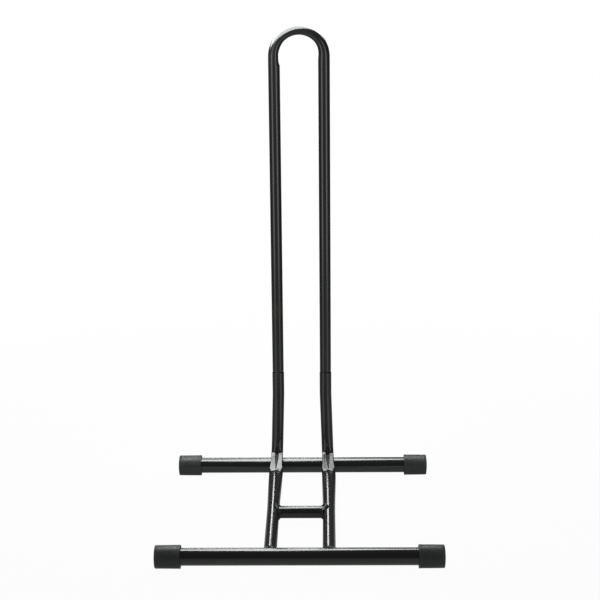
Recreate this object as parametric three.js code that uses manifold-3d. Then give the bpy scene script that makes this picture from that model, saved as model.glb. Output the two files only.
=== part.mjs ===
// Floor rack for one bicycle. Two crossbars lie on the floor, joined by two bent rails and a
// short spacer. The rails turn up at the rear bar and take the two legs of a tall loop, which
// plugs into them. A wheel is rolled in from the front, over the front bar and the spacer,
// until the loop holds it on both sides.
//
// Millimetres. +X to the right, +Y from the front bar to the rear bar, +Z up. The origin is on
// the floor, midway between the bars and between the rails.

import * as THREE from 'three';
import { mergeVertices } from 'three/addons/utils/BufferGeometryUtils.js';
import Module from 'manifold-3d';

// ---- Driving dimensions -------------------------------------------------------------------

// Crossbars and their rubber caps
const BAR_OD = 25.4;
const BAR_WALL = 1.6;
const BASE_WIDTH = 419; // over the caps' domed ends
const BAR_SPACING = 357; // front bar axis to rear bar axis
const CAP_WALL = 4.2;
const CAP_LENGTH = 38.5; // mouth to the top of the dome
const CAP_END_WALL = 4.5;
const CAP_DOME = 1.6;
const CAP_EDGE = 2.4;
const CAP_LIP_CHAMFER = 0.8;

// Rails and spacer
const TUBE_OD = 19.05;
const TUBE_WALL = 1.5;
// The loop's tube is a little thinner than the rails it plugs into.
const LOOP_OD = 18.4;
const LOOP_WALL = 1.5;
const FOOT_SPACING = 85.4; // rail axes at the front bar
const HEEL_SPACING = 88; // rail axes where their bends start
const LEG_SPACING = 78.5; // loop leg axes
const SPACER_SETBACK = 159; // front bar axis to spacer axis

// Heights above the floor
const OVERALL_HEIGHT = 748;
const RIM_HEIGHT = 182.5; // top edge of a rail, where the loop plugs in

// How a bend changes the round tube: thinner across the bend, wider along its axis
const HEEL_SQUASH = 0.08;
const HEEL_SWELL = 0.165;
const HEEL_SWELL_RUN_IN = 150; // length of rail over which the swelling grows
const HEEL_SWELL_RUN_OUT = 70; // length of rail above the bend over which it fades
const CROWN_SQUASH_INSIDE = 0.28;
const CROWN_SQUASH_OUTSIDE = 0.05;
const CROWN_SWELL = 0.06;
const CROWN_FADE = 20; // length of straight leg below the bend over which they fade

// Plug joint between a rail and a leg
const NECK_LENGTH = 38; // length of the reduced end inside the rail
const SHOULDER_RISE = 2.6; // height of the taper from the neck to the full tube
const RIM_ROUND = 0.8;
const NECK_CHAMFER = 0.8;

// Weld beads
const WELD_SIZE = 3; // radius of a bead before the tubes cut it
const WELD_LUMP = 0.12; // share by which the bead's size rises and falls
const WELD_LUMPS = 9; // lumps round one bead
const SPACER_WELD_CREST = 4.3; // least distance of the spacer's beads from a rail's axis
const HEEL_WELD_SIZE = 2.4;
const HEEL_WELD_REACH = 7; // radius of the ring between a bend and the rear bar

// Clearances
const FIT_GAP = 0.3; // between any two pieces that touch on the real rack
const NECK_GAP = 0.3; // between the neck and the bore of the rail

// Facets
const BAR_SIDES = 32;
const TUBE_SIDES = 24;
const HEEL_STEPS = 8;
const CROWN_STEPS = 16;
const WELD_SIDES = 8;
const WELD_STEPS = 36;

// ---- Sizes that follow --------------------------------------------------------------------

const barRadius = BAR_OD / 2;
const tubeRadius = TUBE_OD / 2;
const boreRadius = tubeRadius - TUBE_WALL;
const loopRadius = LOOP_OD / 2;
const neckRadius = boreRadius - NECK_GAP;
const capRadius = barRadius + FIT_GAP + CAP_WALL;
// A cap rests on one of its flat facets, so its axis is a facet's distance above the floor.
const barHeight = capRadius * Math.cos(Math.PI / BAR_SIDES);
const frontBarY = -BAR_SPACING / 2;
const rearBarY = BAR_SPACING / 2;
const barLength = BASE_WIDTH - 2 * (CAP_END_WALL + CAP_DOME + FIT_GAP);

// The bend of a rail goes round the rear bar, which sits in its outer corner. On the corner's
// bisector the corner lies radius * (sqrt(2) - 1) outside the bend's axis.
const heelRadius = (barRadius + tubeRadius * (1 - HEEL_SQUASH) + FIT_GAP) / (Math.SQRT2 - 1);
// A rail starts inside the front bar's outline and is cut back to it.
const railStartY = frontBarY + barRadius / 2;
const railRun = rearBarY - heelRadius - railStartY;
const stubRun = RIM_HEIGHT - barHeight - heelRadius;
const heelArc = (heelRadius * Math.PI) / 2;
const socketDepth = NECK_LENGTH + FIT_GAP;

const crownRadius = LEG_SPACING / 2;
const crownHeight = OVERALL_HEIGHT - crownRadius - loopRadius * (1 - CROWN_SQUASH_OUTSIDE);
const neckEndHeight = RIM_HEIGHT - NECK_LENGTH;
const legRun = crownHeight - neckEndHeight;
const crownArc = crownRadius * Math.PI;

// ---- Solids -------------------------------------------------------------------------------

const wasm = await Module();
wasm.setup();

/** Merges the shared vertices of a closed geometry and drops triangles of no area. */
function closed(geometry) {
  const bare = geometry.clone();
  bare.deleteAttribute('normal');
  bare.deleteAttribute('uv');
  const merged = mergeVertices(bare, 1e-4);
  const index = merged.getIndex().array;
  const kept = [];
  for (let i = 0; i < index.length; i += 3) {
    const [a, b, c] = [index[i], index[i + 1], index[i + 2]];
    if (a !== b && b !== c && c !== a) {
      kept.push(a, b, c);
    }
  }
  merged.setIndex(kept);
  return merged;
}

function toSolid(geometry) {
  const merged = closed(geometry);
  return new wasm.Manifold(
    new wasm.Mesh({
      numProp: 3,
      vertProperties: new Float32Array(merged.getAttribute('position').array),
      triVerts: new Uint32Array(merged.getIndex().array),
    }),
  );
}

function toGeometry(solid) {
  const mesh = solid.getMesh();
  const geometry = new THREE.BufferGeometry();
  geometry.setAttribute('position', new THREE.BufferAttribute(mesh.vertProperties, 3));
  geometry.setIndex(new THREE.BufferAttribute(mesh.triVerts, 1));
  geometry.computeVertexNormals();
  return geometry;
}

/** Cuts every solid in cutters away from the geometry's solid. */
function cut(geometry, cutters) {
  let solid = toSolid(geometry);
  for (const cutter of cutters) {
    solid = solid.subtract(cutter);
  }
  return toGeometry(solid);
}

/** Moves every vertex of a geometry to where place(vertex) says. */
function reshape(geometry, place) {
  const position = geometry.getAttribute('position');
  const vertex = new THREE.Vector3();
  for (let i = 0; i < position.count; i += 1) {
    vertex.fromBufferAttribute(position, i);
    const moved = place(vertex);
    position.setXYZ(i, moved.x, moved.y, moved.z);
  }
  return geometry;
}

/** Outline of a tube's wall, or of a rod when no bore is given. */
function tubeSection(radius, bore) {
  const section = new THREE.Shape().absarc(0, 0, radius, 0, 2 * Math.PI, false);
  if (bore > 0) {
    section.holes.push(new THREE.Path().absarc(0, 0, bore, 0, 2 * Math.PI, true));
  }
  return section;
}

/** A straight tube or rod along X, centred on x. */
function crossTube({ radius, bore = 0, length, x = 0, y, z, sides }) {
  const geometry = new THREE.ExtrudeGeometry(tubeSection(radius, bore), {
    depth: length,
    bevelEnabled: false,
    curveSegments: sides / 2,
  });
  geometry.translate(0, 0, -length / 2);
  geometry.rotateZ(Math.PI / sides);
  geometry.rotateY(Math.PI / 2);
  geometry.translate(x, y, z);
  return geometry;
}

/**
 * The axis of a tube with one bend: a straight run, an arc, and a second straight run, in the
 * plane of the unit vectors heading and towards. It is sampled only at the given stations,
 * which are lengths along it.
 */
class BentAxis extends THREE.Curve {
  constructor({ start, heading, towards, firstRun, radius, angle, stations }) {
    super();
    Object.assign(this, { start, heading, towards, firstRun, radius, angle, stations });
    this.across = new THREE.Vector3().crossVectors(heading, towards);
    this.bendEnd = firstRun + radius * angle;
  }

  /** Turn of the axis at a length along it, from 0 at the start to angle at the end. */
  turn(length) {
    return THREE.MathUtils.clamp((length - this.firstRun) / this.radius, 0, this.angle);
  }

  direction(length) {
    const turn = this.turn(length);
    return this.heading
      .clone()
      .multiplyScalar(Math.cos(turn))
      .addScaledVector(this.towards, Math.sin(turn));
  }

  /** Away from the centre of the bend, square to the axis. */
  outward(length) {
    const turn = this.turn(length);
    return this.heading
      .clone()
      .multiplyScalar(Math.sin(turn))
      .addScaledVector(this.towards, -Math.cos(turn));
  }

  point(length) {
    const point = this.start.clone().addScaledVector(this.heading, this.firstRun);
    if (length <= this.firstRun) {
      return point.addScaledVector(this.heading, length - this.firstRun);
    }
    point.addScaledVector(this.towards, this.radius);
    point.addScaledVector(this.outward(length), this.radius);
    return point.addScaledVector(this.direction(length), Math.max(0, length - this.bendEnd));
  }

  getPointAt(share) {
    return this.point(this.stations[Math.round(share * (this.stations.length - 1))]);
  }

  getTangentAt(share) {
    return this.direction(this.stations[Math.round(share * (this.stations.length - 1))]);
  }

  /** Length along the axis, outward offset and offset across the bend's plane of a point. */
  locate(point) {
    const offset = point.clone().sub(this.start);
    const along = offset.dot(this.heading) - this.firstRun;
    const aside = this.radius - offset.dot(this.towards);
    const across = offset.dot(this.across);
    if (along <= 0 && aside > 0) {
      return { length: this.firstRun + along, outward: aside - this.radius, across };
    }
    const turn = Math.atan2(along, aside);
    if (turn > 0 && turn < this.angle) {
      const length = this.firstRun + this.radius * turn;
      return { length, outward: Math.hypot(along, aside) - this.radius, across };
    }
    const end = point.clone().sub(this.point(this.bendEnd));
    const length = this.bendEnd + end.dot(this.direction(this.bendEnd));
    return { length, outward: end.dot(this.outward(this.bendEnd)), across };
  }
}

/**
 * A tube along a bent axis. change(length) says how its section differs from the round one:
 * squash on the bend's outer and inner side, swell along the bend's axis, inset of both walls,
 * the largest radius that the outer wall keeps, and the offset of the axis from its plane.
 */
function bentTube(axis, radius, bore, change) {
  const geometry = new THREE.ExtrudeGeometry(tubeSection(radius, bore), {
    steps: axis.stations.length - 1,
    bevelEnabled: false,
    curveSegments: TUBE_SIDES / 2,
    extrudePath: axis,
  });
  return reshape(geometry, (vertex) => {
    const { length, outward, across } = axis.locate(vertex);
    const { squash = [0, 0], swell = 0, inset = 0, limit = radius, offset = 0 } = change(length);
    const from = Math.hypot(outward, across);
    const share = Math.min(from - inset, limit) / from;
    const kept = 1 - (outward > 0 ? squash[0] : squash[1]);
    return axis
      .point(length)
      .addScaledVector(axis.outward(length), outward * share * kept)
      .addScaledVector(axis.across, across * share * (1 + swell) + offset);
  });
}

// ---- Crossbars and caps -------------------------------------------------------------------

function crossbar(y) {
  return crossTube({
    radius: barRadius,
    bore: barRadius - BAR_WALL,
    length: barLength,
    y,
    z: barHeight,
    sides: BAR_SIDES,
  });
}

/** Everything within the gap round a crossbar, for cutting what meets it. */
function crossbarClearance(y) {
  return toSolid(
    crossTube({
      radius: barRadius + FIT_GAP,
      length: BASE_WIDTH,
      y,
      z: barHeight,
      sides: BAR_SIDES,
    }),
  );
}

/** A rubber cap on the right end of a bar, or the left end when side is -1. */
function endCap(side, y) {
  const bore = barRadius + FIT_GAP;
  const endFace = CAP_LENGTH - CAP_DOME;
  const boreEnd = endFace - CAP_END_WALL;
  const halfEdge = CAP_EDGE * (1 - Math.SQRT1_2);
  const profile = [
    [0, endFace + CAP_DOME],
    [capRadius / 2, endFace + CAP_DOME * 0.75],
    [capRadius - CAP_EDGE, endFace],
    [capRadius - halfEdge, endFace - halfEdge],
    [capRadius, endFace - CAP_EDGE],
    [capRadius, CAP_LIP_CHAMFER],
    [capRadius - CAP_LIP_CHAMFER, 0],
    [bore, 0],
    [bore, boreEnd],
    [0, boreEnd],
  ].map(([radius, along]) => new THREE.Vector2(radius, along));
  // A lathe's faces point out when its outline runs upwards along the axis.
  profile.reverse();
  const geometry = new THREE.LatheGeometry(profile, BAR_SIDES, Math.PI / BAR_SIDES);
  // The mouth faces the middle of the bar.
  geometry.translate(0, BASE_WIDTH / 2 - CAP_LENGTH, 0);
  geometry.rotateZ((-side * Math.PI) / 2);
  geometry.translate(0, y, barHeight);
  return toGeometry(toSolid(geometry));
}

// ---- Rails --------------------------------------------------------------------------------

/** Distance of a rail's axis from the middle of the rack, at a length along the rail. */
function railOffset(length) {
  const { lerp, clamp } = THREE.MathUtils;
  if (length < railRun) {
    return lerp(FOOT_SPACING, HEEL_SPACING, Math.max(0, length) / railRun) / 2;
  }
  // Above the heel the rails lean in, and the socket stands upright again.
  const socketStart = railRun + heelArc + stubRun - socketDepth;
  const rise = clamp((length - railRun) / (socketStart - railRun), 0, 1);
  return lerp(HEEL_SPACING, LEG_SPACING, rise) / 2;
}

function railAxis(stations) {
  return new BentAxis({
    start: new THREE.Vector3(0, railStartY, barHeight),
    heading: new THREE.Vector3(0, 1, 0),
    towards: new THREE.Vector3(0, 0, 1),
    firstRun: railRun,
    radius: heelRadius,
    angle: Math.PI / 2,
    stations,
  });
}

/** A rail on side 1 or -1: hollow, or with grow a solid that much larger, for cutting. */
function railTube(side, grow = 0) {
  const bendEnd = railRun + heelArc;
  const top = bendEnd + stubRun;
  const socketStart = top - socketDepth;
  const stations = [0];
  for (const share of [1, 0.6, 0.25]) {
    stations.push(railRun - HEEL_SWELL_RUN_IN * share);
  }
  for (let step = 0; step <= HEEL_STEPS; step += 1) {
    stations.push(railRun + (heelArc * step) / HEEL_STEPS);
  }
  stations.push((bendEnd + socketStart) / 2, socketStart, top - RIM_ROUND, top);
  const { smoothstep } = THREE.MathUtils;
  const change = (length) => {
    const turned = THREE.MathUtils.clamp((length - railRun) / heelArc, 0, 1);
    const fade = smoothstep(length, railRun, bendEnd + HEEL_SWELL_RUN_OUT);
    const grown = smoothstep(length, railRun - HEEL_SWELL_RUN_IN, railRun);
    const squash = HEEL_SQUASH * Math.sin(Math.PI * turned);
    const atRim = length > top - RIM_ROUND / 2;
    return {
      squash: [squash, squash],
      swell: HEEL_SWELL * grown * (1 - fade),
      limit: tubeRadius + grow - (atRim ? RIM_ROUND : 0),
      offset: side * railOffset(length),
    };
  };
  const bore = grow > 0 ? 0 : boreRadius;
  return bentTube(railAxis(stations), tubeRadius + grow, bore, change);
}

/** A rail, coped to the back of the front bar. */
function rail(side, frontBarClearance) {
  return cut(railTube(side), [frontBarClearance]);
}

// ---- Spacer -------------------------------------------------------------------------------

const spacerY = frontBarY + SPACER_SETBACK;
const spacerSpan = 2 * railOffset(spacerY - railStartY);

/** The spacer's ends are coped to the inner sides of the rails. */
function spacer(railClearances) {
  const geometry = crossTube({
    radius: tubeRadius,
    bore: boreRadius,
    length: spacerSpan,
    y: spacerY,
    z: barHeight,
    sides: TUBE_SIDES,
  });
  return cut(geometry, railClearances);
}

// ---- Loop ---------------------------------------------------------------------------------

/** The tall loop: two legs with reduced ends, joined by a half turn. */
function loop() {
  const bendEnd = legRun + crownArc;
  const total = bendEnd + legRun;
  const shoulder = NECK_LENGTH + FIT_GAP;
  const legStations = [
    0,
    NECK_CHAMFER,
    shoulder,
    shoulder + SHOULDER_RISE * 0.45,
    shoulder + SHOULDER_RISE,
    legRun - CROWN_FADE,
    legRun - CROWN_FADE * 0.4,
  ];
  const stations = [...legStations];
  for (let step = 0; step <= CROWN_STEPS; step += 1) {
    stations.push(legRun + (crownArc * step) / CROWN_STEPS);
  }
  stations.push(...legStations.map((length) => total - length).reverse());
  const axis = new BentAxis({
    start: new THREE.Vector3(-crownRadius, rearBarY, neckEndHeight),
    heading: new THREE.Vector3(0, 0, 1),
    towards: new THREE.Vector3(1, 0, 0),
    firstRun: legRun,
    radius: crownRadius,
    angle: Math.PI,
    stations,
  });
  const { clamp, smoothstep } = THREE.MathUtils;
  const change = (length) => {
    const fromEnd = Math.min(length, total - length);
    const bent = smoothstep(fromEnd, legRun - CROWN_FADE, legRun);
    const widened = clamp((fromEnd - shoulder) / SHOULDER_RISE, 0, 1);
    // A quarter sine makes the shoulder's corner round at the full tube.
    const reduction = 1 - Math.sin((widened * Math.PI) / 2);
    const atEnd = fromEnd < NECK_CHAMFER / 2;
    return {
      squash: [CROWN_SQUASH_OUTSIDE * bent, CROWN_SQUASH_INSIDE * bent],
      swell: CROWN_SWELL * bent,
      inset: (loopRadius - neckRadius) * reduction,
      limit: atEnd ? neckRadius - NECK_CHAMFER : loopRadius,
    };
  };
  return toGeometry(toSolid(bentTube(axis, loopRadius, loopRadius - LOOP_WALL, change)));
}

// ---- Weld beads ---------------------------------------------------------------------------

/**
 * A lumpy ring of weld about the unit vector axis. Its spokes turn from the unit vector first
 * to second, and centre(spoke) is the middle of the bead on a spoke.
 */
function weldRing({ first, second, axis, centre, size }) {
  const ringRadius = 2;
  const geometry = new THREE.TorusGeometry(ringRadius, 1, WELD_SIDES, WELD_STEPS);
  return reshape(geometry, (vertex) => {
    const around = Math.atan2(vertex.y, vertex.x);
    const inPlane = Math.hypot(vertex.x, vertex.y) - ringRadius;
    const bead = size * (1 + WELD_LUMP * Math.sin(WELD_LUMPS * around));
    const spoke = first
      .clone()
      .multiplyScalar(Math.cos(around))
      .addScaledVector(second, Math.sin(around));
    return centre(spoke)
      .addScaledVector(spoke, inPlane * bead)
      .addScaledVector(axis, vertex.z * bead);
  });
}

const RIGHT = new THREE.Vector3(1, 0, 0);
const BACK = new THREE.Vector3(0, 1, 0);
const UP = new THREE.Vector3(0, 0, 1);

/** Bead round the foot of a rail, on the back of the front bar. */
function footWeld(side, clearances) {
  const foot = new THREE.Vector3((side * FOOT_SPACING) / 2, frontBarY, barHeight);
  const ring = weldRing({
    first: UP,
    second: RIGHT,
    axis: BACK,
    size: WELD_SIZE,
    centre: (spoke) => {
      const onTube = spoke.clone().multiplyScalar(tubeRadius);
      const reach = Math.sqrt(barRadius ** 2 - onTube.z ** 2);
      return onTube.add(foot).addScaledVector(BACK, reach);
    },
  });
  return cut(ring, clearances);
}

/** Bead round an end of the spacer, on the inner side of a rail. */
function spacerWeld(side, clearances) {
  const end = new THREE.Vector3((side * spacerSpan) / 2, spacerY, barHeight);
  const inward = RIGHT.clone().multiplyScalar(-side);
  const ring = weldRing({
    first: BACK,
    second: UP.clone().multiplyScalar(-side),
    axis: inward,
    size: WELD_SIZE,
    centre: (spoke) => {
      const onTube = spoke.clone().multiplyScalar(tubeRadius);
      // The joint line runs out to the rail's crest, but the bead stops short of it.
      const reach = Math.hypot(onTube.y, SPACER_WELD_CREST);
      return onTube.add(end).addScaledVector(inward, Math.min(reach, tubeRadius));
    },
  });
  return cut(ring, clearances);
}

/** Bead in the narrowing space between the bend of a rail and the rear bar. */
function heelWeld(side, clearances) {
  const outward = new THREE.Vector3(0, Math.SQRT1_2, -Math.SQRT1_2);
  const length = railRun + heelArc / 2;
  const contact = new THREE.Vector3(side * railOffset(length), rearBarY, barHeight)
    .addScaledVector(outward, -barRadius - FIT_GAP / 2);
  const ring = weldRing({
    first: RIGHT,
    second: new THREE.Vector3().crossVectors(outward, RIGHT),
    axis: outward,
    size: HEEL_WELD_SIZE,
    centre: (spoke) => contact.clone().addScaledVector(spoke, HEEL_WELD_REACH),
  });
  return cut(ring, clearances);
}

// ---- Finishes -----------------------------------------------------------------------------

const finish = {
  paint: () => new THREE.MeshStandardMaterial({ color: 0x1b1d1d, roughness: 0.22, metalness: 0 }),
  rubber: () => new THREE.MeshStandardMaterial({ color: 0x2b2c2c, roughness: 0.62, metalness: 0 }),
};

// ---- Assembly -----------------------------------------------------------------------------

const rack = new THREE.Group();
rack.name = 'floor_bike_rack';

function add(parent, name, geometry, material) {
  const mesh = new THREE.Mesh(geometry, material);
  mesh.name = name;
  parent.add(mesh);
}

const base = new THREE.Group();
const lift = new THREE.Group();
rack.add(base, lift);

const sides = [
  ['left', -1],
  ['right', 1],
];
const frontBarClearance = crossbarClearance(frontBarY);
const rearBarClearance = crossbarClearance(rearBarY);
const spacerClearance = toSolid(
  crossTube({
    radius: tubeRadius + FIT_GAP,
    length: spacerSpan,
    y: spacerY,
    z: barHeight,
    sides: TUBE_SIDES,
  }),
);

add(base, 'front_bar', toGeometry(toSolid(crossbar(frontBarY))), finish.paint());
add(base, 'rear_bar', toGeometry(toSolid(crossbar(rearBarY))), finish.paint());
const railClearances = [];
for (const [word, side] of sides) {
  const railClearance = toSolid(railTube(side, FIT_GAP));
  railClearances.push(railClearance);
  add(base, `${word}_rail`, rail(side, frontBarClearance), finish.paint());
  add(base, `front_${word}_cap`, endCap(side, frontBarY), finish.rubber());
  add(base, `rear_${word}_cap`, endCap(side, rearBarY), finish.rubber());
  const footCutters = [frontBarClearance, railClearance];
  add(base, `front_${word}_weld`, footWeld(side, footCutters), finish.paint());
  const heelCutters = [rearBarClearance, railClearance];
  add(base, `rear_${word}_weld`, heelWeld(side, heelCutters), finish.paint());
  const spacerCutters = [spacerClearance, railClearance];
  add(base, `spacer_${word}_weld`, spacerWeld(side, spacerCutters), finish.paint());
}
add(base, 'spacer_bar', spacer(railClearances), finish.paint());
add(lift, 'upper_loop', loop(), finish.paint());

export default rack;
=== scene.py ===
# %% [markdown]
# # Floor rack for one bicycle
#
# The real rack is a welded base of painted steel tube on four rubber caps, with a tall loop
# plugged into it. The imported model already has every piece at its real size, as plain facets.
# This notebook dresses it: smooth round tubes with true bends, uneven weld beads, moulded caps,
# gloss black paint, and the light and camera of a plain product photograph.
#
# Everything is in metres, with +X to the right, +Y to the rear and +Z up.

import math

import bmesh
import bpy
from mathutils import Matrix, Vector, noise


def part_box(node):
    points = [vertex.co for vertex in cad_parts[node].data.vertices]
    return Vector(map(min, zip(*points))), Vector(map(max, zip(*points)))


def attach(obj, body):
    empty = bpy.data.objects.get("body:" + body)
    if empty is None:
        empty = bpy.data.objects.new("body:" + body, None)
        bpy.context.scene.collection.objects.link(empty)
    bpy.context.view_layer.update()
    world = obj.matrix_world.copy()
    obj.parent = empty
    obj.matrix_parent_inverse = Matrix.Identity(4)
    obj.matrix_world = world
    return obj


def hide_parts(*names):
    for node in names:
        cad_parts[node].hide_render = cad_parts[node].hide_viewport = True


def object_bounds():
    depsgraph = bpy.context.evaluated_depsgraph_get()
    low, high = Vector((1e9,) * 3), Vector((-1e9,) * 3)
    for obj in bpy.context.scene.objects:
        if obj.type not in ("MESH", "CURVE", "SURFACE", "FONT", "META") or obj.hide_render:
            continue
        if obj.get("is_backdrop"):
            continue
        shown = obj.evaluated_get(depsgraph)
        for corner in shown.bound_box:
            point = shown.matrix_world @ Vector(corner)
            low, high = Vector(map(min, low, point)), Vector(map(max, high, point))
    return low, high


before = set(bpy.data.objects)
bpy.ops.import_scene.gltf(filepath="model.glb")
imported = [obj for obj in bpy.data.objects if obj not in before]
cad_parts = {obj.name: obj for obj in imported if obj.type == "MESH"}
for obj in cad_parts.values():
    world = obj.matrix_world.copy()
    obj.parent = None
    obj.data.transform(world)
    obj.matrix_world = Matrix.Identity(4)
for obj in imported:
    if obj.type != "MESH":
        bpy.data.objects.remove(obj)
cad_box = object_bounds()

# %% [markdown]
# ## Sizes
#
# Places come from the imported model: a crossbar's node gives the height and the depth of its
# axis. The tubes' diameters are the standard sizes that the base was designed with.

# %% Measure the frame
MM = 0.001
X = Vector((1, 0, 0))
Y = Vector((0, 1, 0))
Z = Vector((0, 0, 1))


def middle(node):
    low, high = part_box(node)
    return (low + high) / 2


bar_height = middle("front_bar").z
front_y = middle("front_bar").y
rear_y = middle("rear_bar").y
bar_half_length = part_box("front_bar")[1].x
spacer_y = middle("spacer_bar").y
cap_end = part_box("front_right_cap")[1].x
rim_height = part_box("right_rail")[1].z
neck_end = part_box("upper_loop")[0].z
top_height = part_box("upper_loop")[1].z
print(f"bar axis {bar_height / MM:.2f} mm up, bars {(rear_y - front_y) / MM:.0f} mm apart")

# %% Tube sizes
BAR_RADIUS = 12.7 * MM
BAR_WALL = 1.6 * MM
RAIL_RADIUS = 9.525 * MM
LOOP_RADIUS = 9.2 * MM
TUBE_WALL = 1.5 * MM
NECK_RADIUS = 7.725 * MM
FOOT_SPACING = 85.4 * MM
HEEL_SPACING = 88 * MM
LEG_SPACING = 78.5 * MM
SIDES = 64
NEARLY = 0.1 * MM  # a distance that is too small to matter where shapes are compared

# %% [markdown]
# ## Shader arithmetic
#
# A finish is mostly arithmetic on noise: how thick the paint is here, how rough, how dusty.
# Written as nodes that is long to read, so a small class wraps a socket and lets Python's own
# `+ - *` and `abs` add the Math nodes. One method, `add`, makes every other node.

# %% A socket that can be used in expressions
class Shade:
    """An output socket of a node. Sums and products of it are new Math nodes."""

    def __init__(self, tree, socket):
        self.tree = tree
        self.socket = socket

    def add(self, kind, settings, inputs, output=0):
        """Adds a node of any kind: its settings first, then its inputs' values or links."""
        node = self.tree.nodes.new(kind)
        for name, value in settings.items():
            setattr(node, name, value)
        for name, value in inputs.items():
            if isinstance(value, Shade):
                self.tree.links.new(value.socket, node.inputs[name])
            else:
                node.inputs[name].default_value = value
        return Shade(self.tree, node.outputs[output]) if node.outputs else None

    def maths(self, operation, first, second):
        return self.add("ShaderNodeMath", {"operation": operation}, {0: first, 1: second})

    def __add__(self, other):
        return self.maths("ADD", self, other)

    def __sub__(self, other):
        return self.maths("SUBTRACT", self, other)

    def __rsub__(self, other):
        return self.maths("SUBTRACT", other, self)

    def __mul__(self, other):
        return self.maths("MULTIPLY", self, other)

    def __abs__(self):
        return self.maths("ABSOLUTE", self, 0)

    __radd__ = __add__
    __rmul__ = __mul__

    def noise(self, size, detail=2.0, roughness=0.5):
        """Noise from 0 to 1 on this position, with blotches of about that size."""
        inputs = {"Vector": self, "Scale": 1 / size, "Detail": detail, "Roughness": roughness}
        return self.add("ShaderNodeTexNoise", {}, inputs)

    def between(self, low, high):
        """0 where this value is under low, 1 over high, and smooth in between."""
        settings = {"interpolation_type": "SMOOTHSTEP"}
        inputs = {"Value": self, "From Min": low, "From Max": high}
        return self.add("ShaderNodeMapRange", settings, inputs)

    def tint(self, low, high):
        """Mixes two colours by this value. Each is red, green and blue, or a socket."""
        low, high = (end if isinstance(end, Shade) else (*end, 1) for end in (low, high))
        inputs = {"Factor": self, 6: low, 7: high}
        settings = {"data_type": "RGBA", "clamp_factor": True}
        return self.add("ShaderNodeMix", settings, inputs, output=2)


def begin_material(name):
    """A new material, and the object's own coordinates in it."""
    material = bpy.data.materials.new(name)
    material.use_nodes = True
    tree = material.node_tree
    tree.nodes.clear()
    place = Shade(tree, tree.nodes.new("ShaderNodeTexCoord").outputs["Object"])
    return material, place


def end_material(shader):
    """Shows a shader on the surface."""
    shader.add("ShaderNodeOutputMaterial", {}, {"Surface": shader})


# %% [markdown]
# ## Gloss black paint
#
# The tubes are sprayed or powder coated in gloss black. Seen close, such a coat is not a flat
# colour: it is slightly greenish and uneven in thickness, its surface has a fine orange peel
# and long soft waves that make the edges of highlights wander, and a little dust and handling
# haze makes some places less glossy than others. All of that comes from noise on the object's
# coordinates, so it stays in place on every piece.
#
# One place is worn: the front bar is scuffed. The other is a painted highlight, a lighter and
# warmer patch on the left leg. Each is the same noise kept inside a small ellipsoid. The rails'
# coat is a little duller than the rest, which spreads the line of light along them.

# %% A bump, and a patch for a scuff and for a painted highlight
# Two patches, each a centre and a reach: scuffs on the front bar, and a painted highlight on
# the left leg
SCUFF = ((-0.1, front_y - 11.5 * MM, bar_height - 5 * MM), (28 * MM, 9 * MM, 8 * MM))
LEG_HIGHLIGHT = ((-LEG_SPACING / 2, rear_y - 8 * MM, 290 * MM), (14 * MM, 9 * MM, 17 * MM))
print(f"worn places at x {SCUFF[0][0] / MM:.0f} mm and at z {LEG_HIGHLIGHT[0][2] / MM:.0f} mm")


def bump(height, distance):
    """A normal from a height given from 0 to 1, where 1 stands for that distance."""
    inputs = {"Height": height, "Distance": distance, "Strength": 1.0}
    return height.add("ShaderNodeBump", {}, inputs)


def scuff_and_highlight_patch(place, centre, reach):
    """1 at a place on the object, falling to 0 at its reach along each axis."""
    offset = place.add("ShaderNodeVectorMath", {"operation": "SUBTRACT"}, {0: place, 1: centre})
    shares = place.add("ShaderNodeVectorMath", {"operation": "DIVIDE"}, {0: offset, 1: reach})
    distance = place.add("ShaderNodeVectorMath", {"operation": "LENGTH"}, {0: shares}, output=1)
    return 1 - distance.between(0.5, 1.0)


# %% Paint
THIN_PAINT = (0.0055, 0.006, 0.0058)
THICK_PAINT = (0.011, 0.012, 0.0113)
SCUFFED_PAINT = (0.06, 0.06, 0.056)
# painted highlight: the lighter, warmer colour of the patch on the left leg
PAINTED_LEG_HIGHLIGHT = (0.032, 0.03, 0.024)
SCUFF_STRETCH = (0.12, 1, 1)  # scuffs are drawn out along the bar
PEEL_SHARE = 0.25  # height of the orange peel beside that of the long waves
HAZE_DULLS, DUST_DULLS, SCUFF_AND_HIGHLIGHT_DULLS = 0.05, 0.08, 0.25  # roughness that each of them adds
PAINT_IOR = 1.7


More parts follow.
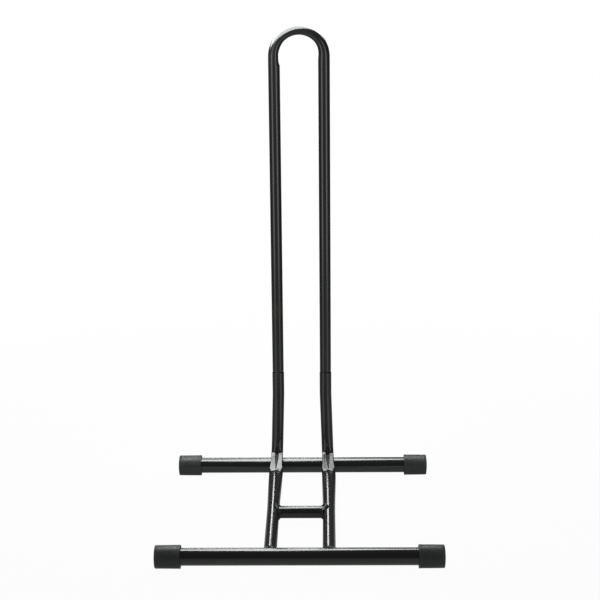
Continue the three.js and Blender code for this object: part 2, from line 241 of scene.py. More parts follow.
def gloss_paint(name, roughness, peel_depth):
    material, place = begin_material(name)
    thickness = place.noise(60 * MM, detail=3)
    peel = place.noise(1.3 * MM, detail=1)
    waves = place.noise(22 * MM, detail=1)
    haze = place.noise(9 * MM, detail=4, roughness=0.65).between(0.5, 0.75)
    dust = place.noise(0.55 * MM, detail=1).between(0.69, 0.78)
    colour = (thickness + dust * 0.6).tint(THIN_PAINT, THICK_PAINT)
    stretch = {0: place, 1: SCUFF_STRETCH}
    drawn = place.add("ShaderNodeVectorMath", {"operation": "MULTIPLY"}, stretch)
    scuff = drawn.noise(0.9 * MM, detail=2).between(0.5, 0.66) * scuff_and_highlight_patch(place, *SCUFF)
    # painted highlight on the left leg, kept inside its patch; it also dulls the gloss there
    leg_highlight = place.noise(3 * MM, detail=3).between(0.3, 0.6) * scuff_and_highlight_patch(place, *LEG_HIGHLIGHT)
    colour = scuff.tint(colour, SCUFFED_PAINT)
    colour = leg_highlight.tint(colour, PAINTED_LEG_HIGHLIGHT)
    height = peel * PEEL_SHARE + waves
    dulled = roughness + haze * HAZE_DULLS + dust * DUST_DULLS
    inputs = {
        "Base Color": colour,
        "Roughness": dulled + scuff * SCUFF_AND_HIGHLIGHT_DULLS + leg_highlight * SCUFF_AND_HIGHLIGHT_DULLS,
        "Normal": bump(height, peel_depth),
        "IOR": PAINT_IOR,
    }
    end_material(place.add("ShaderNodeBsdfPrincipled", {}, inputs))
    return material


black_paint = gloss_paint("black_paint", roughness=0.17, peel_depth=0.012 * MM)
rail_paint = gloss_paint("rail_paint", roughness=0.21, peel_depth=0.002 * MM)
print("paint:", len(black_paint.node_tree.nodes), "nodes")

# %% [markdown]
# ## Paint over the welds
#
# The same coat lies over the weld beads, but the metal under it is rough: small spatter and
# the ripples of the bead show through, so the finish is more broken and a little duller.

# %% Weld paint
THIN_WELD_PAINT = (0.010, 0.012, 0.0115)
THICK_WELD_PAINT = (0.024, 0.028, 0.0265)
SPATTER_HEIGHT = 0.5 * MM


def weld_finish(name):
    material, place = begin_material(name)
    spatter = place.noise(1.6 * MM, detail=3, roughness=0.6)
    pits = place.noise(0.6 * MM, detail=2)
    tone = place.noise(5 * MM, detail=2)
    inputs = {
        "Base Color": tone.tint(THIN_WELD_PAINT, THICK_WELD_PAINT),
        "Roughness": 0.16 + pits * 0.16,
        "Normal": bump(spatter + pits * 0.3, SPATTER_HEIGHT),
        "IOR": 1.55,
    }
    end_material(place.add("ShaderNodeBsdfPrincipled", {}, inputs))
    return material


weld_paint = weld_finish("weld_paint")
print("weld paint:", len(weld_paint.node_tree.nodes), "nodes")

# %% [markdown]
# ## Rubber
#
# The caps are moulded black rubber with a satin face. Their sheen is patchy, because rubber
# that has been handled and pushed along a floor is part polished and part dull, and the
# mould's fine grain breaks up the light.

# %% Rubber
DARK_RUBBER = (0.026, 0.0275, 0.027)
PALE_RUBBER = (0.043, 0.0455, 0.045)
GRAIN_HEIGHT = 0.35 * MM


def rubber_finish(name):
    material, place = begin_material(name)
    handled = place.noise(11 * MM, detail=3, roughness=0.6)
    grain = place.noise(0.7 * MM, detail=3, roughness=0.7)
    soft_waves = place.noise(14 * MM, detail=1)
    dust = place.noise(0.5 * MM, detail=1).between(0.66, 0.76)
    inputs = {
        "Base Color": (handled + dust * 0.5).tint(DARK_RUBBER, PALE_RUBBER),
        "Roughness": 0.38 + handled.between(0.35, 0.65) * 0.14 + dust * 0.15,
        "Normal": bump(soft_waves + grain * 0.12, GRAIN_HEIGHT),
        "IOR": 1.5,
    }
    end_material(place.add("ShaderNodeBsdfPrincipled", {}, inputs))
    return material


black_rubber = rubber_finish("black_rubber")
print("rubber:", len(black_rubber.node_tree.nodes), "nodes")

# %% [markdown]
# ## Growing a tube from a circle
#
# A tube could be a curve with a round bevel, but the bends here are flattened and the ends are
# reduced, coped or rounded, which a curve can't follow. So each tube starts as one circle of
# edges. Extruding the circle makes a straight run, spinning it about a centre makes a bend,
# and what comes out is a skin that is still easy to push into its real shape.

# %% Tube skins
def of_type(geometry, kind):
    return [item for item in geometry if isinstance(item, kind)]


class TubeSkin:
    """The outer skin of a tube, grown ring by ring from a circle."""

    def __init__(self, centre, heading, radius, sides=SIDES):
        self.mesh = bmesh.new()
        self.centre = centre.copy()
        self.radius = radius
        turn = heading.to_track_quat("Z", "Y").to_matrix().to_4x4()
        matrix = Matrix.Translation(centre) @ turn
        bmesh.ops.create_circle(self.mesh, segments=sides, radius=radius, matrix=matrix)
        self.rim = list(self.mesh.edges)

    def run(self, offset, radius=None, steps=1):
        """Extrudes the last ring by an offset, and changes its radius on the way."""
        radius = self.radius if radius is None else radius
        ratio = (radius / self.radius) ** (1 / steps)
        for _ in range(steps):
            made = bmesh.ops.extrude_edge_only(self.mesh, edges=self.rim)["geom"]
            verts = of_type(made, bmesh.types.BMVert)
            self.rim = of_type(made, bmesh.types.BMEdge)
            self.centre += offset / steps
            bmesh.ops.translate(self.mesh, verts=verts, vec=offset / steps)
            space = Matrix.Translation(-self.centre)
            bmesh.ops.scale(self.mesh, verts=verts, vec=(ratio, ratio, ratio), space=space)
        self.radius = radius

    def bend(self, centre, axis, angle, steps):
        """Spins the last ring about a centre."""
        verts = list({vert for edge in self.rim for vert in edge.verts})
        geometry = verts + self.rim
        spun = bmesh.ops.spin(
            self.mesh, geom=geometry, cent=centre, axis=axis, angle=angle, steps=steps
        )
        self.rim = of_type(spun["geom_last"], bmesh.types.BMEdge)
        self.centre = centre + Matrix.Rotation(angle, 3, axis) @ (self.centre - centre)

    def wall(self, thickness):
        """Turns the skin into a tube with a wall, inwards."""
        bmesh.ops.recalc_face_normals(self.mesh, faces=self.mesh.faces)
        bmesh.ops.solidify(self.mesh, geom=self.mesh.faces[:], thickness=thickness)


def round_edges(mesh, chosen, size):
    """Bevels the edges that chosen(edge) picks."""
    bmesh.ops.bevel(
        mesh,
        geom=[edge for edge in mesh.edges if chosen(edge)],
        offset=size,
        offset_type="OFFSET",
        segments=3,
        profile=0.5,
        affect="EDGES",
        material=-1,
        clamp_overlap=True,
    )


# %% Turn a mesh into a piece of the rack
CREASE = math.radians(35)
MERGE = 0.001 * MM


def make_piece(mesh, name, material, body, nodes):
    """Closes and smooths a mesh, and lets it ride on its body in place of its CAD nodes."""
    bmesh.ops.remove_doubles(mesh, verts=mesh.verts[:], dist=MERGE)
    bmesh.ops.recalc_face_normals(mesh, faces=mesh.faces)
    for face in mesh.faces:
        face.smooth = True
    for edge in mesh.edges:
        edge.smooth = not edge.is_manifold or edge.calc_face_angle() < CREASE
    open_edges = sum(not edge.is_manifold for edge in mesh.edges)
    data = bpy.data.meshes.new(name)
    mesh.to_mesh(data)
    mesh.free()
    data.materials.append(material)
    piece = bpy.data.objects.new(name, data)
    bpy.context.scene.collection.objects.link(piece)
    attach(piece, body)
    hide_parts(*nodes)
    print(f"{name}: {len(data.polygons)} faces, {open_edges} open edges")


# %% [markdown]
# ## Crossbars
#
# Two straight 25.4 mm tubes. Their ends are hidden in the caps, so a circle, one long
# extrusion and a wall are enough.

# %% Crossbars
BAR_STEPS = 12


def crossbar(name, node, y):
    start = Vector((-bar_half_length, y, bar_height))
    skin = TubeSkin(start, X, BAR_RADIUS, sides=96)
    skin.run(X * 2 * bar_half_length, steps=BAR_STEPS)
    skin.wall(BAR_WALL)
    make_piece(skin.mesh, name, black_paint, "base", [node])


crossbar("front_crossbar", "front_bar", front_y)
crossbar("rear_crossbar", "rear_bar", rear_y)

# %% [markdown]
# ## Where a vertex lies along a bent tube
#
# The bends are not perfect: a tube that is bent cold gets thinner across the bend and wider
# along its axis. To push a skin into that shape, each vertex has to know how far along the
# tube it is, and how far out from the tube's axis on the outside of the bend.

# %% Bends
class Bend:
    """A bend in a tube's axis: where it starts, where it heads, and the side it turns to."""

    def __init__(self, start, heading, towards, radius, angle):
        self.heading = heading
        self.towards = towards
        self.across = heading.cross(towards)
        self.radius = radius
        self.angle = angle
        self.centre = start + towards * radius

    def outward(self, length):
        """Away from the bend's centre, at a length past the start of the bend."""
        turn = min(max(length / self.radius, 0), self.angle)
        return self.heading * math.sin(turn) - self.towards * math.cos(turn)

    def locate(self, point):
        """Length past the start of the bend, and the offset outwards from the axis."""
        offset = point - self.centre
        along = offset.dot(self.heading)
        aside = -offset.dot(self.towards)
        if along <= 0 and aside > 0:
            return along, aside - self.radius
        turn = math.atan2(along, aside)
        if 0 < turn < self.angle:
            return turn * self.radius, math.hypot(along, aside) - self.radius
        ahead = self.heading * math.cos(self.angle) + self.towards * math.sin(self.angle)
        length = self.angle * self.radius + offset.dot(ahead)
        return length, offset.dot(self.outward(length)) - self.radius


def clamp(value):
    return min(max(value, 0), 1)


def smoothstep(value, low, high):
    share = clamp((value - low) / (high - low))
    return share * share * (3 - 2 * share)


# %% [markdown]
# ## Rails
#
# A rail starts on the back of the front bar, runs back along the floor, turns up round the
# rear bar and ends in an upright socket for the loop. Its foot is cut to a saddle that fits the
# front bar.
#
# At the heel, the real tube is squeezed: about a fifth wider from side to side, and thinner
# across. On the inside of the bend it has a flat face with a fold along its middle. That face
# mirrors the soft box overhead, and so it shows as two bright wings over the rear bar. The skin
# is grown round and pushed into this shape, since every vertex knows its place on the bend.

# %% Rail shape
HEEL_SQUASH = 0.08
HEEL_SWELL = 0.19
HEEL_SWELL_RUN_IN = 150 * MM
HEEL_SWELL_PEAK = 8 * MM
HEEL_SWELL_END = 36 * MM
HEEL_SWELL_LOSS = 0.9  # share of the swelling that is gone there
FACE_FROM = math.radians(8)  # where on the bend its flattened inner face starts and ends
FACE_TO = math.radians(57)
FACE_STARTS = (math.radians(0), math.radians(13))  # the angles over which it sets in
FACE_FADES = (math.radians(51), math.radians(71))  # and those over which it runs out
FACE_SINK = 1.5 * MM  # how far the ends of that face lie inside the round tube
FACE_POWER = 14  # how flat it is from side to side, where 2 is round
FOLD_HALF_WIDTH = 3.2 * MM
FOLD_DEPTH = 3.0 * MM
FOLD_OPENS = (0.05, 0.55)  # shares of the bend over which the fold opens
FOLD_CLOSES = (0.6, 0.9)  # and over which it closes
NECK_LENGTH = 38 * MM
FIT_GAP = 0.3 * MM
HEEL_STEPS = 28
STRAIGHT_STEPS = 24

heel_radius = (BAR_RADIUS + RAIL_RADIUS * (1 - HEEL_SQUASH) + FIT_GAP) / (math.sqrt(2) - 1)
heel_start = rear_y - heel_radius
heel_arc = heel_radius * math.pi / 2
stub_length = rim_height - bar_height - heel_radius
rail_start = front_y + BAR_RADIUS / 2


def rail_offset(length):
    """Distance of a rail's axis from the middle, at a length past the start of its heel."""
    if length < 0:
        share = 1 + length / (heel_start - rail_start)
        return (FOOT_SPACING + (HEEL_SPACING - FOOT_SPACING) * share) / 2
    rise = clamp(length / (heel_arc + stub_length - NECK_LENGTH - FIT_GAP))
    return (HEEL_SPACING + (LEG_SPACING - HEEL_SPACING) * rise) / 2


def inner_face(turn):
    """Distance from the rail's axis to the flat inner face, at an angle of the bend."""
    middle_turn = (FACE_FROM + FACE_TO) / 2
    end = heel_radius - RAIL_RADIUS + FACE_SINK
    from_centre = end * math.cos(FACE_TO - middle_turn) / math.cos(turn - middle_turn)
    return heel_radius - from_centre


def flattened(turn, aside, out):
    """Moves an offset on the inner side of the bend to a section with a flat inner face."""
    share = smoothstep(turn, *FACE_STARTS) * (1 - smoothstep(turn, *FACE_FADES))
    if out >= 0 or share == 0:
        return out
    beside = min(abs(aside) / RAIL_RADIUS, 1)
    flat = -inner_face(turn) * (1 - beside**FACE_POWER) ** (1 / FACE_POWER)
    return out + (flat - out) * share


def shape_rail(mesh, side):
    heel = Bend(Vector((0, heel_start, bar_height)), Y, Z, heel_radius, math.pi / 2)
    for vert in mesh.verts:
        length, out = heel.locate(vert.co)
        turned = clamp(length / heel_arc)
        squash = HEEL_SQUASH * math.sin(math.pi * turned)
        grown = smoothstep(length, -HEEL_SWELL_RUN_IN, HEEL_SWELL_PEAK)
        faded = smoothstep(length, HEEL_SWELL_PEAK, HEEL_SWELL_END)
        swell = HEEL_SWELL * grown * (1 - HEEL_SWELL_LOSS * faded)
        # The inner wall has folded in along its middle, deepest a little past half way.
        opened = smoothstep(turned, *FOLD_OPENS) * (1 - smoothstep(turned, *FOLD_CLOSES))
        width = FOLD_HALF_WIDTH * opened
        beside = abs(vert.co.x) / width if out < 0 and width > NEARLY else 1
        fold = FOLD_DEPTH * opened * (1 - smoothstep(beside, 0, 1))
        pressed = flattened(turned * math.pi / 2, vert.co.x, out) - out
        vert.co += heel.outward(length) * (pressed + fold - out * squash)
        vert.co.x = vert.co.x * (1 + swell) + side * rail_offset(length)


# %% Rails
RIM_ROUND = 0.7 * MM
FOOT_RUN = 3 * MM
RAIL_SIDES = 144


def rail(name, node, side):
    # The first ring lies just behind the bar, so that it can be pulled onto the saddle.
    start = Vector((0, front_y + BAR_RADIUS, bar_height))
    skin = TubeSkin(start, Y, RAIL_RADIUS, sides=RAIL_SIDES)
    foot = [vert.index for vert in skin.mesh.verts]
    skin.run(Y * FOOT_RUN)
    skin.run(Y * (heel_start - skin.centre.y), steps=STRAIGHT_STEPS)
    skin.bend(Vector((0, heel_start, bar_height + heel_radius)), X, math.pi / 2, HEEL_STEPS)
    skin.run(Z * (rim_height - 2 * RIM_ROUND - skin.centre.z), steps=STRAIGHT_STEPS)
    skin.run(Z * 2 * RIM_ROUND)
    skin.mesh.verts.ensure_lookup_table()
    for index in foot:
        vert = skin.mesh.verts[index]
        drop = vert.co.z - bar_height
        vert.co.y = front_y + math.sqrt(BAR_RADIUS**2 - drop**2)
    shape_rail(skin.mesh, side)
    skin.wall(TUBE_WALL)

    def on_rim(edge):
        level = all(vert.co.z > rim_height - NEARLY for vert in edge.verts)
        return level and edge.calc_face_angle() > CREASE

    round_edges(skin.mesh, on_rim, RIM_ROUND)
    make_piece(skin.mesh, name, rail_paint, "base", [node])


rail("left_rail_tube", "left_rail", -1)
rail("right_rail_tube", "right_rail", 1)

# %% [markdown]
# ## Spacer
#
# A short tube between the rails. Its ends are saddles too, so each end ring is pulled out
# until it lies on the side of the rail.

# %% Spacer
SADDLE_PULL = 2 * MM  # how far short of the rails the tube ends before it is pulled onto them


def spacer():
    reach = rail_offset(spacer_y - heel_start)
    half = reach - RAIL_RADIUS - SADDLE_PULL
    skin = TubeSkin(Vector((-half, spacer_y, bar_height)), X, RAIL_RADIUS)
    left_end = [vert.index for vert in skin.mesh.verts]
    skin.run(X * 2 * half, steps=BAR_STEPS)
    skin.mesh.verts.index_update()
    right_end = [vert.index for edge in skin.rim for vert in edge.verts]
    skin.mesh.verts.ensure_lookup_table()
    for side, ring in ((-1, left_end), (1, right_end)):
        for index in set(ring):
            vert = skin.mesh.verts[index]
            drop = min(abs(vert.co.z - bar_height), RAIL_RADIUS)
            vert.co.x = side * (reach - math.sqrt(RAIL_RADIUS**2 - drop**2))
    skin.wall(TUBE_WALL)
    make_piece(skin.mesh, "spacer_tube", black_paint, "base", ["spacer_bar"])


spacer()

# %% [markdown]
# ## Loop
#
# One long tube bent in a half turn. Its inner side is clearly flattened by the bending tool,
# and where the left leg meets the bend the tool has left a shallow kink. The lower ends are
# swaged down to necks that plug into the rails, with a rounded shoulder above.
#
# Half of the loop is grown and mirrored, and only then flattened and kinked.

# %% Loop shape
CROWN_SQUASH_INSIDE = 0.28
CROWN_SQUASH_OUTSIDE = 0.05
CROWN_SWELL = 0.06
CROWN_RUN_IN = 10 * MM  # length of straight leg over which the flattening begins
CROWN_RUN_UP = 30 * MM  # length of bend over which it grows to its full depth
CROWN_STEPS = 40
SHOULDER_RISE = 2.6 * MM
SHOULDER_STEPS = 6
SHOULDER_EDGE = 1 * MM  # short straight run that keeps the end of the shoulder crisp
NECK_CHAMFER = 0.8 * MM
NECK_EDGE = 1 * MM
LEG_STEPS = 24
LEG_TOP_STEPS = 16
KINK_DEPTH = 2.0 * MM
KINK_STARTS = (-16 * MM, -8 * MM)  # from the start of the bend, steep on the leg's side
KINK_FADES = (-4 * MM, 22 * MM)  # and running out slowly into the bend

crown_radius = LEG_SPACING / 2
crown_height = top_height - crown_radius - LOOP_RADIUS * (1 - CROWN_SQUASH_OUTSIDE) - MERGE


def shape_loop(mesh):
    start = Vector((-crown_radius, rear_y, crown_height))
    crown = Bend(start, Z, X, crown_radius, math.pi)
    crown_arc = crown_radius * math.pi
    for vert in mesh.verts:
        length, out = crown.locate(vert.co)
        bent = smoothstep(min(length, crown_arc - length), -CROWN_RUN_IN, CROWN_RUN_UP)
        squash = (CROWN_SQUASH_OUTSIDE if out > 0 else CROWN_SQUASH_INSIDE) * bent
        inner = clamp(-out / LOOP_RADIUS)
        kink = smoothstep(length, *KINK_STARTS) * (1 - smoothstep(length, *KINK_FADES))
        vert.co += crown.outward(length) * (KINK_DEPTH * inner**2 * kink - out * squash)
        vert.co.y = rear_y + (vert.co.y - rear_y) * (1 + CROWN_SWELL * bent)


# %% Loop
def loop():
    skin = TubeSkin(Vector((-crown_radius, rear_y, neck_end)), Z, NECK_RADIUS - NECK_CHAMFER)
    skin.run(Z * NECK_CHAMFER, radius=NECK_RADIUS)
    skin.run(Z * NECK_EDGE)
    shoulder = neck_end + NECK_LENGTH + FIT_GAP
    skin.run(Z * (shoulder - skin.centre.z), steps=3)
    for step in range(1, SHOULDER_STEPS + 1):
        # The shoulder is a quarter of an ellipse, flat at the neck and flush with the tube.
        turn = math.pi / 2 * step / SHOULDER_STEPS
        height = shoulder + SHOULDER_RISE * (1 - math.cos(turn))
        radius = NECK_RADIUS + (LOOP_RADIUS - NECK_RADIUS) * math.sin(turn)
        skin.run(Z * (height - skin.centre.z), radius=radius)
    skin.run(Z * SHOULDER_EDGE)
    skin.run(Z * (crown_height - 3 * CROWN_RUN_IN - skin.centre.z), steps=LEG_STEPS)
    skin.run(Z * 3 * CROWN_RUN_IN, steps=LEG_TOP_STEPS)
    skin.bend(Vector((0, rear_y, crown_height)), Y, math.pi / 2, CROWN_STEPS)
    everything = skin.mesh.verts[:] + skin.mesh.edges[:] + skin.mesh.faces[:]
    bmesh.ops.mirror(skin.mesh, geom=everything, axis="X", merge_dist=MERGE)
    shape_loop(skin.mesh)
    skin.wall(TUBE_WALL)
    make_piece(skin.mesh, "loop_tube", black_paint, "loop", ["upper_loop"])


loop()

# %% [markdown]
# ## Caps
#
# Each cap is a moulded rubber cup pushed over the end of a bar. The mouth has a slightly
# larger lip, the body tapers a little so that it leaves the mould, the closed end is rounded
# at its edge and a touch domed, and a fine parting line runs round it near the end.
#
# The cap is grown from a small disc at the middle of the dome, out over the end, along the
# body to the lip, and back inside.

# %% Cap shape
CAP_LENGTH = 38.5 * MM
CAP_DOME = 1.6 * MM
CAP_END_WALL = 4.5 * MM
CAP_LIP_RADIUS = 17.1 * MM
CAP_BODY_RADIUS = 16.95 * MM
CAP_END_RADIUS = 16.7 * MM
CAP_LIP_LENGTH = 3.4 * MM
CAP_LIP_STEP = 0.8 * MM  # length over which the body widens into the lip
CAP_LIP_ROUND = 0.7 * MM
CAP_EDGE = 1.5 * MM
CAP_BORE_RADIUS = 12.72 * MM
CAP_BORE_CHAMFER = 0.4 * MM
CAP_CENTRE_RADIUS = 1.2 * MM  # the small disc from which the cap is grown
PARTING_LINE = 0.14 * MM  # depth of the groove
PARTING_OFFSET = 0.15 * MM
PARTING_HALF_WIDTH = 0.25 * MM
CAP_SIDES = 96
CAP_ROUND_STEPS = 8
CAP_BODY_STEPS = 16
CAP_LIP_STEPS = 4


def cap(name, node, side, y):
    inward = -side * X
    end = Vector((side * cap_end, y, bar_height))
    skin = TubeSkin(end, inward, CAP_CENTRE_RADIUS, CAP_SIDES)

    def grow(depth, radius=None, steps=1):
        """Runs the skin to a depth under the top of the dome."""
        skin.run(inward * (depth - abs(skin.centre.x - end.x)), radius, steps)

    bmesh.ops.contextual_create(skin.mesh, geom=skin.rim)
    face_edge = CAP_END_RADIUS - CAP_EDGE
    for step in range(1, CAP_ROUND_STEPS + 1):
        across = (face_edge - CAP_CENTRE_RADIUS) * step / CAP_ROUND_STEPS
        radius = CAP_CENTRE_RADIUS + across
        grow(CAP_DOME * (radius / CAP_END_RADIUS) ** 2, radius)
    rounded_from = abs(skin.centre.x - end.x)
    for step in range(1, CAP_ROUND_STEPS + 1):
        turn = math.pi / 2 * step / CAP_ROUND_STEPS
        depth = rounded_from + CAP_EDGE * (1 - math.cos(turn))
        grow(depth, face_edge + CAP_EDGE * math.sin(turn))
    # Parting line: a fine groove
    skin.run(inward * PARTING_OFFSET)
    skin.run(inward * PARTING_HALF_WIDTH, radius=skin.radius - PARTING_LINE)
    skin.run(inward * PARTING_HALF_WIDTH, radius=skin.radius + PARTING_LINE)
    grow(CAP_LENGTH - CAP_LIP_LENGTH, CAP_BODY_RADIUS, CAP_BODY_STEPS)
    skin.run(inward * CAP_LIP_STEP, radius=CAP_LIP_RADIUS)
    grow(CAP_LENGTH - CAP_LIP_ROUND)
    for step in range(1, CAP_LIP_STEPS + 1):
        turn = math.pi / 2 * step / CAP_LIP_STEPS
        radius = CAP_LIP_RADIUS - CAP_LIP_ROUND * (1 - math.cos(turn))
        grow(CAP_LENGTH - CAP_LIP_ROUND * (1 - math.sin(turn)), radius)
    # Across the mouth, and back in along the bore to the end wall
    grow(CAP_LENGTH, CAP_BORE_RADIUS + CAP_BORE_CHAMFER)
    grow(CAP_LENGTH - CAP_BORE_CHAMFER, CAP_BORE_RADIUS)
    grow(CAP_DOME + CAP_END_WALL)
    bmesh.ops.contextual_create(skin.mesh, geom=skin.rim)
    make_piece(skin.mesh, name, black_rubber, "base", [node])


# %% Caps
SIDE_WORDS = {"left": -1, "right": 1}
for side_word, side in SIDE_WORDS.items():
    cap(f"front_{side_word}_end_cap", f"front_{side_word}_cap", side, front_y)
    cap(f"rear_{side_word}_end_cap", f"rear_{side_word}_cap", side, rear_y)

# %% [markdown]
# ## Weld beads
#
# A bead is laid by hand round each joint: a row of overlapping puddles, never even. It starts
# as a small torus, a circle spun all the way round. Each vertex is then carried to the joint
# line, and the bead's size rises and falls with the puddles and with a little noise.

# %% Bead
RING = 2.0
BEAD_SIDES = 16
BEAD_STEPS = 144
# Shares of the bead's size: its least size, and what puddles, lumps, fine grain and sway add
LEAST, PUDDLE, LUMP, FINE, SWAY = 0.86, 0.2, 0.18, 0.05, 0.25
UNEVEN = 0.35  # how far a puddle is out of step, in radians
LUMP_LENGTH = 2.2 * MM
FINE_LENGTH = 0.8 * MM
SPOKE_NOISE = 1.7
SWAY_NOISE = 2.3


def bead(joint, side, kind, first, second, axis, centre):
    """A lumpy ring of weld. centre(spoke) is the middle of the bead on a spoke of the ring."""
    size, puddles, seed = kind
    seed *= side
    mesh = bmesh.new()
    matrix = Matrix.Translation(X * RING) @ Matrix.Rotation(math.pi / 2, 4, "X")
    bmesh.ops.create_circle(mesh, segments=BEAD_SIDES, radius=1, matrix=matrix)
    bmesh.ops.spin(
        mesh,
        geom=mesh.verts[:] + mesh.edges[:],
        cent=(0, 0, 0),
        axis=Z,
        angle=2 * math.pi,
        steps=BEAD_STEPS,
        use_merge=True,
    )
    for vert in mesh.verts:
        around = math.atan2(vert.co.y, vert.co.x)
        spoke = first * math.cos(around) + second * math.sin(around)
        aside = math.hypot(vert.co.x, vert.co.y) - RING
        shift = UNEVEN * noise.noise(spoke * SPOKE_NOISE + Vector((seed, 0, 0)))
        ripple = abs(math.sin((around + shift) * puddles / 2))
        here = centre(spoke)
        rough = noise.noise(here / LUMP_LENGTH + Vector((0, seed, 0)))
        lump = size * (LEAST + PUDDLE * ripple + LUMP * rough)
        sway = noise.noise(spoke * SWAY_NOISE + Vector((0, 0, seed))) * SWAY * size
        skin_point = here + axis * vert.co.z * size
        fine = noise.noise(skin_point / FINE_LENGTH + spoke * aside) * FINE
        lump *= 1 + fine
        vert.co = here + spoke * (aside * lump + sway) + axis * (vert.co.z * lump)
    make_piece(mesh, f"{joint}_bead", weld_paint, "base", [f"{joint}_weld"])


# %% Beads at the feet, the spacer and the heels
# Each is a bead's radius, how many puddles go round it, and the seed of its unevenness.
FOOT_BEAD = (3.3 * MM, 15, 3.1)
SPACER_BEAD = (3.5 * MM, 13, 5.3)
HEEL_BEAD = (2.4 * MM, 11, 7.7)
HEEL_BEAD_REACH = 7 * MM
SPACER_BEAD_CREST = 4.3 * MM


def foot_bead(word, side):
    foot = Vector((side * FOOT_SPACING / 2, front_y, bar_height))

    def centre(spoke):
        on_tube = spoke * RAIL_RADIUS
        return foot + on_tube + Y * math.sqrt(BAR_RADIUS**2 - on_tube.z**2)

    bead(f"front_{word}", side, FOOT_BEAD, Z, X, Y, centre)


def spacer_bead(word, side):
    reach = rail_offset(spacer_y - heel_start)
    end = Vector((side * reach, spacer_y, bar_height))

    def centre(spoke):
        on_tube = spoke * RAIL_RADIUS
        stand_off = min(math.hypot(on_tube.y, SPACER_BEAD_CREST), RAIL_RADIUS)
        return end + on_tube - X * side * stand_off

    bead(f"spacer_{word}", side, SPACER_BEAD, Y, Z * -side, X * -side, centre)


def heel_bead(word, side):
    outward = Vector((0, 1, -1)).normalized()
    contact = Vector((side * rail_offset(heel_arc / 2), rear_y, bar_height))
    contact -= outward * (BAR_RADIUS + FIT_GAP / 2)

    def centre(spoke):
        return contact + spoke * HEEL_BEAD_REACH

    bead(f"rear_{word}", side, HEEL_BEAD, X, outward.cross(X), outward, centre)


for side_word, side in SIDE_WORDS.items():
    foot_bead(side_word, side)
    spacer_bead(side_word, side)
    heel_bead(side_word, side)

# %% [markdown]
# ## Floor
#
# The photograph's ground is plain white. White paper under the rack would be enough, but where
# lamps light paper it is never evenly white. So the floor shows the camera mostly an even
# white, and keeps a share of the real, lit paper with the rack's shadow.
#
# The gloss paint mirrors the floor too, and there its colour is painted light: a glow that
# stands for paper that is lit only in parts. It is dim behind the rack and lighter in front of
# it.
# Painted strips of light under the crossbars draw the soft ramp on the lower side of each bar,
# and a painted pool of light on each side, at about 45 degrees in front of the loop, draws the
# two faint streaks up its legs.

# %% Levels of the mirrored floor
FLOOR_HALF = 60.0
PAPER = 0.5
FIBRES = 0.02  # how much the paper's fibres change its grey
FIBRE_SIZE = 3 * MM
SEEN_WHITE = 0.965  # share of even white that the camera sees near the rack
ALL_WHITE = (0.4, 1.5)  # distances over which that share grows to 1
MIRRORED_SHARE = 0.75
# painted light in the glow that the gloss paint mirrors: a dim level everywhere, more in front,
# strips beside the bars, pools at the sides
DIM_LEVEL, PAINTED_FRONT_LIGHT, PAINTED_STRIP_LIGHT, PAINTED_POOL_LIGHT = 0.11, 0.2, 0.22, 0.95
MIRRORED_TINT = (0.93, 1, 0.93)
STRIP_REACH = (0.0, 0.07)
FRONT_ENDS = (math.radians(65), math.radians(100))  # angles from straight ahead of the loop
POOL_STARTS = (math.radians(27), math.radians(42))
POOL_ENDS = (math.radians(48), math.radians(63))
POOL_ASIDE = (0.08, 0.2)
print(f"mirrored floor: {DIM_LEVEL} behind, {DIM_LEVEL + PAINTED_FRONT_LIGHT:.2f} in front")

# %% White floor
def ray_kind(tree, kind):
    """1 for rays of one kind, 0 for all others."""
    return Shade(tree, tree.nodes.new("ShaderNodeLightPath").outputs[f"Is {kind} Ray"])


def floor_material():
    material, place = begin_material("white_paper")
    seen = ray_kind(place.tree, "Camera")
    mirrored = ray_kind(place.tree, "Glossy") + ray_kind(place.tree, "Transmission")
    distance = place.add("ShaderNodeVectorMath", {"operation": "LENGTH"}, {0: place}, output=1)
    along = place.add("ShaderNodeSeparateXYZ", {}, {"Vector": place}, output=0)
    aside = abs(along)
    back = place.add("ShaderNodeSeparateXYZ", {}, {"Vector": place}, output=1)
    ahead = rear_y - back
    to_bar = abs(back) - rear_y
    painted_bar_strip = 1 - abs(to_bar).between(*STRIP_REACH)
    azimuth = aside.maths("ARCTAN2", aside, ahead)
    front = 1 - azimuth.between(*FRONT_ENDS)
    painted_pool = azimuth.between(*POOL_STARTS) * (1 - azimuth.between(*POOL_ENDS))
    painted_pool *= aside.between(*POOL_ASIDE)
    # painted light: the floor's glow for mirrored rays, lighter in front, in strips beside the
    # crossbars and in pools at the sides
    level = DIM_LEVEL + front * PAINTED_FRONT_LIGHT + painted_bar_strip * PAINTED_STRIP_LIGHT + painted_pool * PAINTED_POOL_LIGHT
    colour = seen.tint(level.tint((0, 0, 0), MIRRORED_TINT), (1, 1, 1))
    fibre = place.noise(FIBRE_SIZE, detail=3)
    paper_colour = fibre.tint((PAPER * (1 - FIBRES),) * 3, (PAPER * (1 + FIBRES),) * 3)
    paper_inputs = {"Base Color": paper_colour, "Roughness": 1.0, "Specular IOR Level": 0.0}
    paper = place.add("ShaderNodeBsdfPrincipled", {}, paper_inputs)
    # white for the camera; for mirrored rays this glow is the painted light above
    white = place.add("ShaderNodeEmission", {}, {"Color": colour, "Strength": 1.0})
    seen_share = SEEN_WHITE + distance.between(*ALL_WHITE) * (1 - SEEN_WHITE)
    share = seen * seen_share + mirrored * MIRRORED_SHARE
    end_material(place.add("ShaderNodeMixShader", {}, {0: share, 1: paper, 2: white}))
    return material


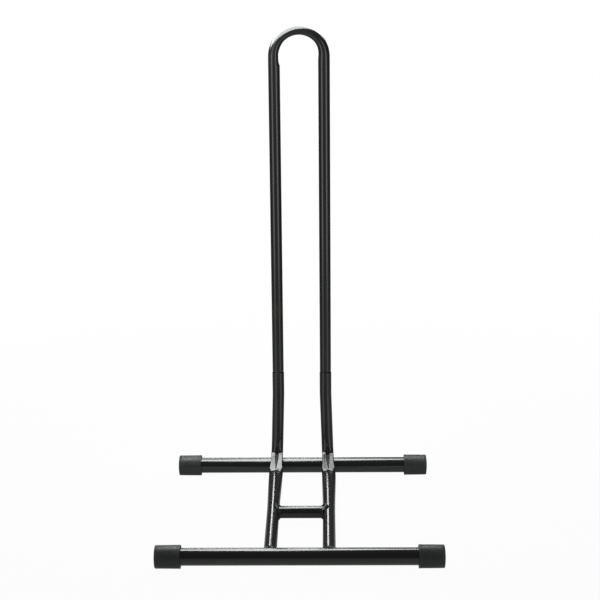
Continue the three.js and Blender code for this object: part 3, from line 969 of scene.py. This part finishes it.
def floor():
    mesh = bmesh.new()
    bmesh.ops.create_grid(mesh, x_segments=1, y_segments=1, size=FLOOR_HALF)
    data = bpy.data.meshes.new("paper_floor")
    mesh.to_mesh(data)
    mesh.free()
    data.materials.append(floor_material())
    paper = bpy.data.objects.new("paper_floor", data)
    bpy.context.scene.collection.objects.link(paper)
    paper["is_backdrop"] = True


floor()
print("floor in place")

# %% [markdown]
# ## Light
#
# Black gloss paint shows nothing but reflections, so the lamps are placed for what they draw
# on it. A soft box overhead and a little to the rear draws the bright band along every
# crossbar, the wings on the heels and the cap of light on the loop. A panel two metres behind
# and a little to the left draws the thin white line down the rails. Two upright soft boxes at
# the front corners fill the sides of the legs and the caps. Each is given by its radiance, so
# its size can change without changing the brightness of what it draws.

# %% Lamps
def soft_box(name, centre, target, width, height, radiance, tint=(1, 1, 1)):
    """A rectangular lamp at centre, turned to target. An area lamp of one radiance L gives
    a power of pi * area * L."""
    data = bpy.data.lights.new(name, "AREA")
    data.shape = "RECTANGLE"
    data.size = width
    data.size_y = height
    data.energy = math.pi * width * height * radiance
    data.color = tint
    lamp = bpy.data.objects.new(name, data)
    heading = Vector(target) - Vector(centre)
    turn = heading.to_track_quat("-Z", "Y").to_matrix().to_4x4()
    lamp.matrix_world = Matrix.Translation(Vector(centre)) @ turn
    lamp.visible_camera = False
    bpy.context.scene.collection.objects.link(lamp)
    print(f"{name}: {data.energy:.0f} W")


COOL = (0.97, 1.0, 0.99)
soft_box("overhead_box", (-0.04, 0.455, 0.852), (0.022, 0.54, 0), 0.49, 0.79, 9.0, COOL)
soft_box("rear_panel", (-0.17, 2.0, 0.9), (0, 0, 0.03), 0.5, 0.25, 10.5)
soft_box("left_box", (-0.95, -0.8, 0.6), (0, 0.15, 0.35), 0.6, 1.2, 0.95)
soft_box("right_box", (0.95, -0.8, 0.6), (0, 0.15, 0.35), 0.6, 1.2, 0.95)

# %% World
ROOM = 0.09


def studio_world():
    world = bpy.data.worlds.new("studio")
    world.use_nodes = True
    tree = world.node_tree
    tree.nodes.clear()
    level = ROOM + ray_kind(tree, "Camera") * (1 - ROOM)
    room = level.add("ShaderNodeBackground", {}, {"Color": level, "Strength": 1.0})
    room.add("ShaderNodeOutputWorld", {}, {"Surface": room})
    bpy.context.scene.world = world


studio_world()
print("world in place")

# %% [markdown]
# ## Camera
#
# The photograph's camera was found from the perspective of the two crossbars, the rails and
# the legs: a long lens about two metres away, a little above the loop and looking down.

# %% Camera
IMAGE_WIDTH = 600  # px
FOCAL_LENGTH = 1352  # px
SENSOR_WIDTH = 36  # mm
CAMERA_PLACE = Vector((0.0347, -1.9659, 0.8599))
PITCH = math.radians(14.497)
YAW = math.radians(0.977)
ROLL = math.radians(-0.548)

lens = bpy.data.cameras.new("photo_camera")
lens.sensor_width = SENSOR_WIDTH
lens.lens = FOCAL_LENGTH / IMAGE_WIDTH * SENSOR_WIDTH
lens.clip_end = 200
camera = bpy.data.objects.new("photo_camera", lens)
facing = Matrix.Rotation(YAW, 4, "Z") @ Matrix.Rotation(math.pi / 2 - PITCH, 4, "X")
camera.matrix_world = Matrix.Translation(CAMERA_PLACE) @ facing @ Matrix.Rotation(ROLL, 4, "Z")
bpy.context.scene.collection.objects.link(camera)
bpy.context.scene.camera = camera
bpy.context.scene.view_settings.view_transform = "Standard"
print(f"lens {lens.lens:.1f} mm")

# %% [markdown]
# ## Sizes
#
# The dressed rack must not be larger than the imported one, so the margins by which it lies
# inside the imported box are printed.

# %% Finish
visual_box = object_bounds()
for axis, name in enumerate("XYZ"):
    low = (visual_box[0][axis] - cad_box[0][axis]) / MM
    high = (cad_box[1][axis] - visual_box[1][axis]) / MM
    print(f"{name}: inside the CAD box by {low:.3f} and {high:.3f} mm")
